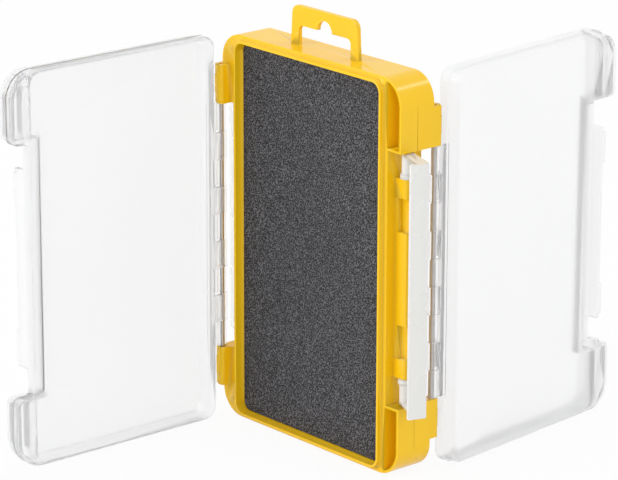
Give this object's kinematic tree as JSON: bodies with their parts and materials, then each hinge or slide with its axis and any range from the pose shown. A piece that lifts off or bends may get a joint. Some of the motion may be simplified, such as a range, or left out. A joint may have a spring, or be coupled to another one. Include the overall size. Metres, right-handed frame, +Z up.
{
  "type": "tackle box",
  "caption": "Double-sided upright tackle box: moulded frame with foam on both faces, clear hinged lids, snap latches and a hanger tab.",
  "frame": {"origin": "middle of the frame's flat base, halfway between its front and rear faces", "axes": "+X to the right across the width seen from the front, +Y from the front face to the rear face, +Z up towards the hanger"},
  "size_m": [0.146, 0.2488, 0.1922],
  "materials": {
    "frame_plastic": "glossy moulded yellow",
    "foam": "dense grey foam",
    "clear_plastic": "clear moulded plastic",
    "pin_steel": "drawn wire",
    "latch_plastic": "milky translucent plastic"
  },
  "bodies": {
    "frame": {"frame": "frame_plastic", "front_foam_pad": "foam", "rear_foam_pad": "foam", "front_hinge_pin": "pin_steel", "rear_hinge_pin": "pin_steel"},
    "front_lid": {"front_lid": "clear_plastic"},
    "rear_lid": {"rear_lid": "clear_plastic"},
    "front_latch": {"front_latch": "latch_plastic"},
    "rear_latch": {"rear_latch": "latch_plastic"}
  },
  "joints": [
    {"name": "front_lid_hinge", "type": "hinge", "parent": "frame", "child": "front_lid", "pos_m": [-0.0551, -0.012, 0.0875], "axis": [0, 0, -1], "range_deg": [-91.5, 88.5]},
    {"name": "rear_lid_hinge", "type": "hinge", "parent": "frame", "child": "rear_lid", "pos_m": [0.0551, 0.012, 0.0875], "axis": [0, 0, -1], "range_deg": [-84, 96]},
    {"name": "front_latch_hinge", "type": "hinge", "parent": "frame", "child": "front_latch", "pos_m": [0.0547, -0.0029, 0.0875], "axis": [0, 0, 1], "range_deg": [-70, 25]},
    {"name": "rear_latch_hinge", "type": "hinge", "parent": "frame", "child": "rear_latch", "pos_m": [-0.0547, 0.0029, 0.0875], "axis": [0, 0, 1], "range_deg": [-70, 25]}
  ]
}
